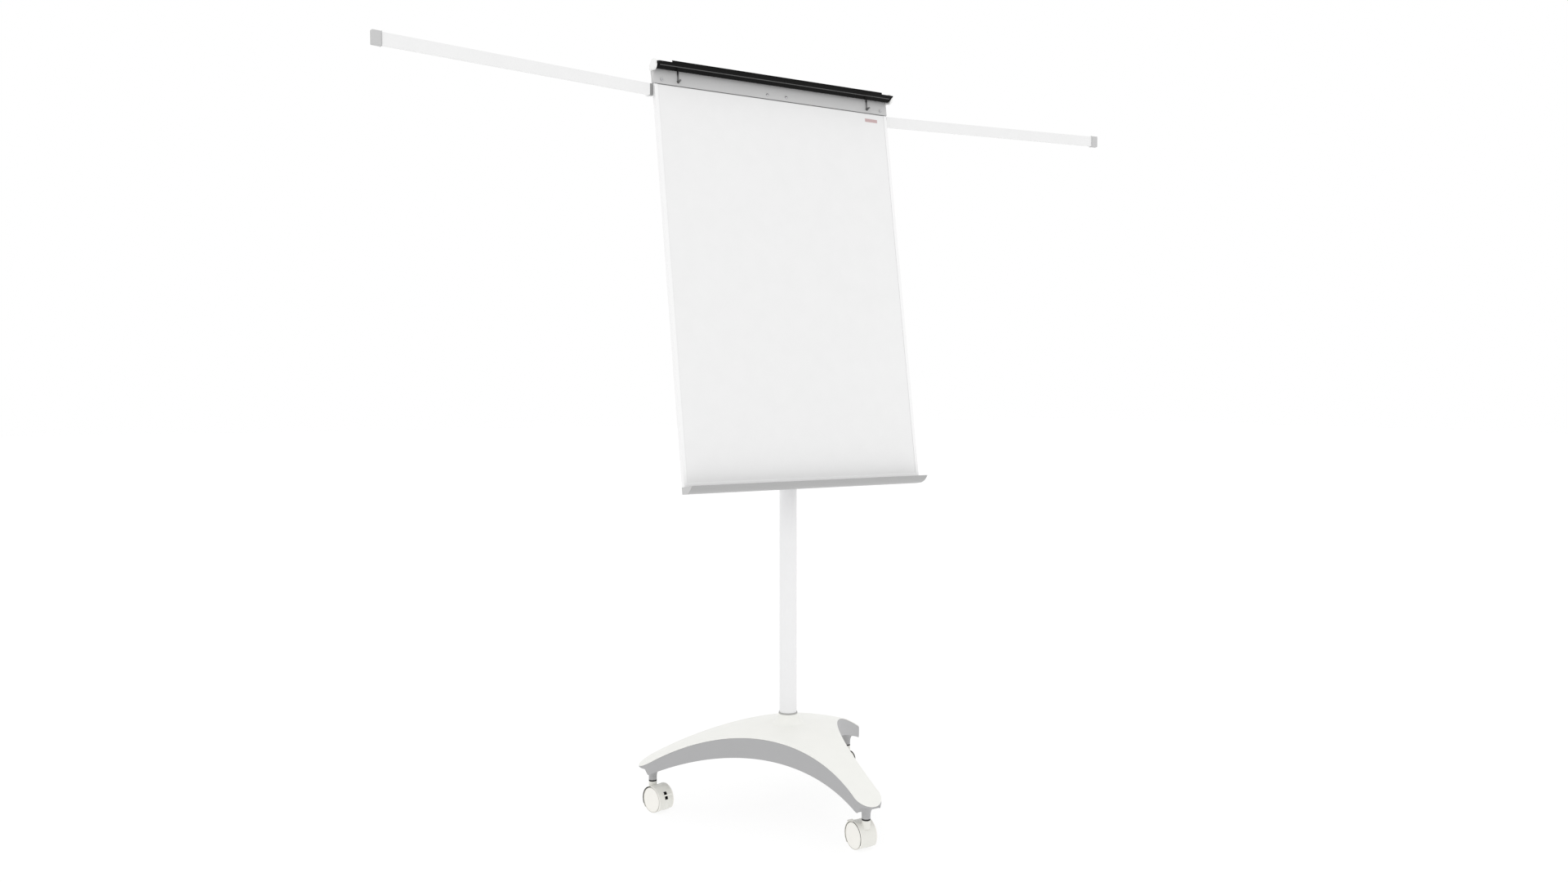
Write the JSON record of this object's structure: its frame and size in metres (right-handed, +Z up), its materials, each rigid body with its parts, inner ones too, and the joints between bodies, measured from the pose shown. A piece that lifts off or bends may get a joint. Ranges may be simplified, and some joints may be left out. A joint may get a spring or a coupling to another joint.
{
  "type": "flipchart easel",
  "caption": "Mobile flipchart easel: leaning white board with pad clamp, pad hooks, pen tray and swing-out arms on a telescopic post and castor base.",
  "frame": {"origin": "floor level at the middle of the bounding box; the post stands 88.25 mm behind it", "axes": "+X along the board to the viewer's right, -Y towards the viewer, +Z up"},
  "size_m": [2.0964, 0.6014, 1.9003],
  "materials": {
    "base_grey": "satin powder coat",
    "base_white": "satin moulding",
    "post_white": "satin powder coat",
    "ring_grey": "satin",
    "zinc_steel": "zinc plated",
    "dark_steel": "satin",
    "black_plastic": "moulded",
    "white_plastic": "moulded",
    "castor_white": "moulded",
    "castor_hood": "moulded",
    "enamel": "glossy enamelled steel",
    "core": "fibre core",
    "rear_white": "coated sheet",
    "frame_white": "white coated",
    "strip": "light grey coated",
    "chrome": "polished",
    "clamp_black": "gloss black",
    "tray_grey": "silver grey coated",
    "arm_white": "white coated",
    "arm_grey": "moulded",
    "cap_grey": "moulded"
  },
  "bodies": {
    "base": {"base_frame": "base_grey", "base_cover": "base_white", "base_screws": "zinc_steel", "post_ring": "ring_grey", "lower_tube": "post_white", "guide_bush": "white_plastic", "post_bolt": "zinc_steel", "height_collar": "dark_steel"},
    "height_knob": {"height_knob": "black_plastic"},
    "mast": {"inner_tube": "zinc_steel", "glide_plug": "black_plastic", "post_head": "dark_steel"},
    "board": {"writing_sheet": "enamel", "board_core": "core", "rear_sheet": "rear_white", "frame_left": "frame_white", "frame_right": "frame_white", "frame_top": "frame_white", "frame_bottom": "frame_white", "stiffeners": "zinc_steel", "tilt_bracket": "dark_steel", "tilt_pin": "zinc_steel", "bracket_screws": "zinc_steel", "top_strip": "strip", "strip_screws": "zinc_steel", "strip_studs": "chrome", "clamp_rod": "zinc_steel", "clamp_ends": "white_plastic", "pen_tray": "tray_grey", "tray_ends": "cap_grey", "arm_brackets": "arm_grey", "arm_pins": "zinc_steel"},
    "tilt_lever": {"tilt_lever": "black_plastic"},
    "clamp": {"clamp_bar": "clamp_black"},
    "hook_left": {"hook_left": "chrome"},
    "hook_right": {"hook_right": "chrome"},
    "arm_left": {"arm_left": "arm_white", "arm_knuckle_left": "arm_grey", "arm_cap_left": "cap_grey"},
    "arm_right": {"arm_right": "arm_white", "arm_knuckle_right": "arm_grey", "arm_cap_right": "cap_grey"},
    "castor_front": {"castor_front_hood": "castor_hood", "castor_front_stem": "zinc_steel", "castor_front_axle": "zinc_steel"},
    "castor_front_wheel_a": {"castor_front_wheel_a": "castor_white"},
    "castor_front_wheel_b": {"castor_front_wheel_b": "castor_white"},
    "castor_front_pedal": {"castor_front_pedal": "castor_white"},
    "castor_right": {"castor_right_hood": "castor_hood", "castor_right_stem": "zinc_steel", "castor_right_axle": "zinc_steel"},
    "castor_right_wheel_a": {"castor_right_wheel_a": "castor_white"},
    "castor_right_wheel_b": {"castor_right_wheel_b": "castor_white"},
    "castor_right_pedal": {"castor_right_pedal": "castor_white"},
    "castor_left": {"castor_left_hood": "castor_hood", "castor_left_stem": "zinc_steel", "castor_left_axle": "zinc_steel"},
    "castor_left_wheel_a": {"castor_left_wheel_a": "castor_white"},
    "castor_left_wheel_b": {"castor_left_wheel_b": "castor_white"},
    "castor_left_pedal": {"castor_left_pedal": "castor_white"}
  },
  "joints": [
    {"name": "height_slide", "type": "slide", "parent": "base", "child": "mast", "axis": [0, 0, 1], "range_m": [-0.09, 0.28]},
    {"name": "height_knob_turn", "type": "hinge", "parent": "base", "child": "height_knob", "pos_m": [0, 0.13825, 0.9525], "axis": [0, 1, 0], "range_deg": [0, 270]},
    {"name": "board_tilt", "type": "hinge", "parent": "mast", "child": "board", "pos_m": [0, 0.08825, 1.15], "axis": [-1, 0, 0], "range_deg": [-8.9, 81.1]},
    {"name": "tilt_lever_turn", "type": "hinge", "parent": "board", "child": "tilt_lever", "pos_m": [0.023, 0.08825, 1.15], "axis": [1, 0, 0], "range_deg": [0, 90]},
    {"name": "clamp_close", "type": "hinge", "parent": "board", "child": "clamp", "pos_m": [0, 0.13725, 1.88628], "axis": [1, 0, 0], "range_deg": [0, 105]},
    {"name": "hook_left_slide", "type": "slide", "parent": "board", "child": "hook_left", "axis": [1, 0, 0], "range_m": [-0.03, 0.15]},
    {"name": "hook_right_slide", "type": "slide", "parent": "board", "child": "hook_right", "axis": [1, 0, 0], "range_m": [-0.15, 0.03]},
    {"name": "arm_left_swing", "type": "hinge", "parent": "board", "child": "arm_left", "pos_m": [-0.36, 0.15955, 1.8268], "axis": [0, 0, 1], "range_deg": [-188.7, 0]},
    {"name": "arm_right_swing", "type": "hinge", "parent": "board", "child": "arm_right", "pos_m": [0.36, 0.16598, 1.8268], "axis": [0, 0, 1], "range_deg": [0, 188.7]},
    {"name": "castor_front_swivel", "type": "hinge", "parent": "base", "child": "castor_front", "pos_m": [0, -0.26475, 0.077], "axis": [0, 0, 1], "continuous": true},
    {"name": "castor_front_wheel_a_roll", "type": "hinge", "parent": "castor_front", "child": "castor_front_wheel_a", "pos_m": [0, -0.24275, 0.0325], "axis": [1, 0, 0], "continuous": true},
    {"name": "castor_front_wheel_b_roll", "type": "hinge", "parent": "castor_front", "child": "castor_front_wheel_b", "pos_m": [0, -0.24275, 0.0325], "axis": [1, 0, 0], "continuous": true},
    {"name": "castor_front_brake", "type": "hinge", "parent": "castor_front", "child": "castor_front_pedal", "pos_m": [0, -0.21946, 0.04287], "axis": [-1, 0, 0], "range_deg": [0, 16]},
    {"name": "castor_right_swivel", "type": "hinge", "parent": "base", "child": "castor_right", "pos_m": [0.30571, 0.26475, 0.077], "axis": [0, 0, 1], "continuous": true},
    {"name": "castor_right_wheel_a_roll", "type": "hinge", "parent": "castor_right", "child": "castor_right_wheel_a", "pos_m": [0.28419, 0.26018, 0.0325], "axis": [-0.2079, 0.9781, 0], "continuous": true},
    {"name": "castor_right_wheel_b_roll", "type": "hinge", "parent": "castor_right", "child": "castor_right_wheel_b", "pos_m": [0.28419, 0.26018, 0.0325], "axis": [-0.2079, 0.9781, 0], "continuous": true},
    {"name": "castor_right_brake", "type": "hinge", "parent": "castor_right", "child": "castor_right_pedal", "pos_m": [0.2614, 0.25533, 0.04287], "axis": [0.2079, -0.9781, 0], "range_deg": [0, 16]},
    {"name": "castor_left_swivel", "type": "hinge", "parent": "base", "child": "castor_left", "pos_m": [-0.30571, 0.26475, 0.077], "axis": [0, 0, 1], "continuous": true},
    {"name": "castor_left_wheel_a_roll", "type": "hinge", "parent": "castor_left", "child": "castor_left_wheel_a", "pos_m": [-0.30076, 0.24331, 0.0325], "axis": [-0.9744, -0.225, 0], "continuous": true},
    {"name": "castor_left_wheel_b_roll", "type": "hinge", "parent": "castor_left", "child": "castor_left_wheel_b", "pos_m": [-0.30076, 0.24331, 0.0325], "axis": [-0.9744, -0.225, 0], "continuous": true},
    {"name": "castor_left_brake", "type": "hinge", "parent": "castor_left", "child": "castor_left_pedal", "pos_m": [-0.29552, 0.22062, 0.04287], "axis": [0.9744, 0.225, 0], "range_deg": [0, 16]}
  ]
}
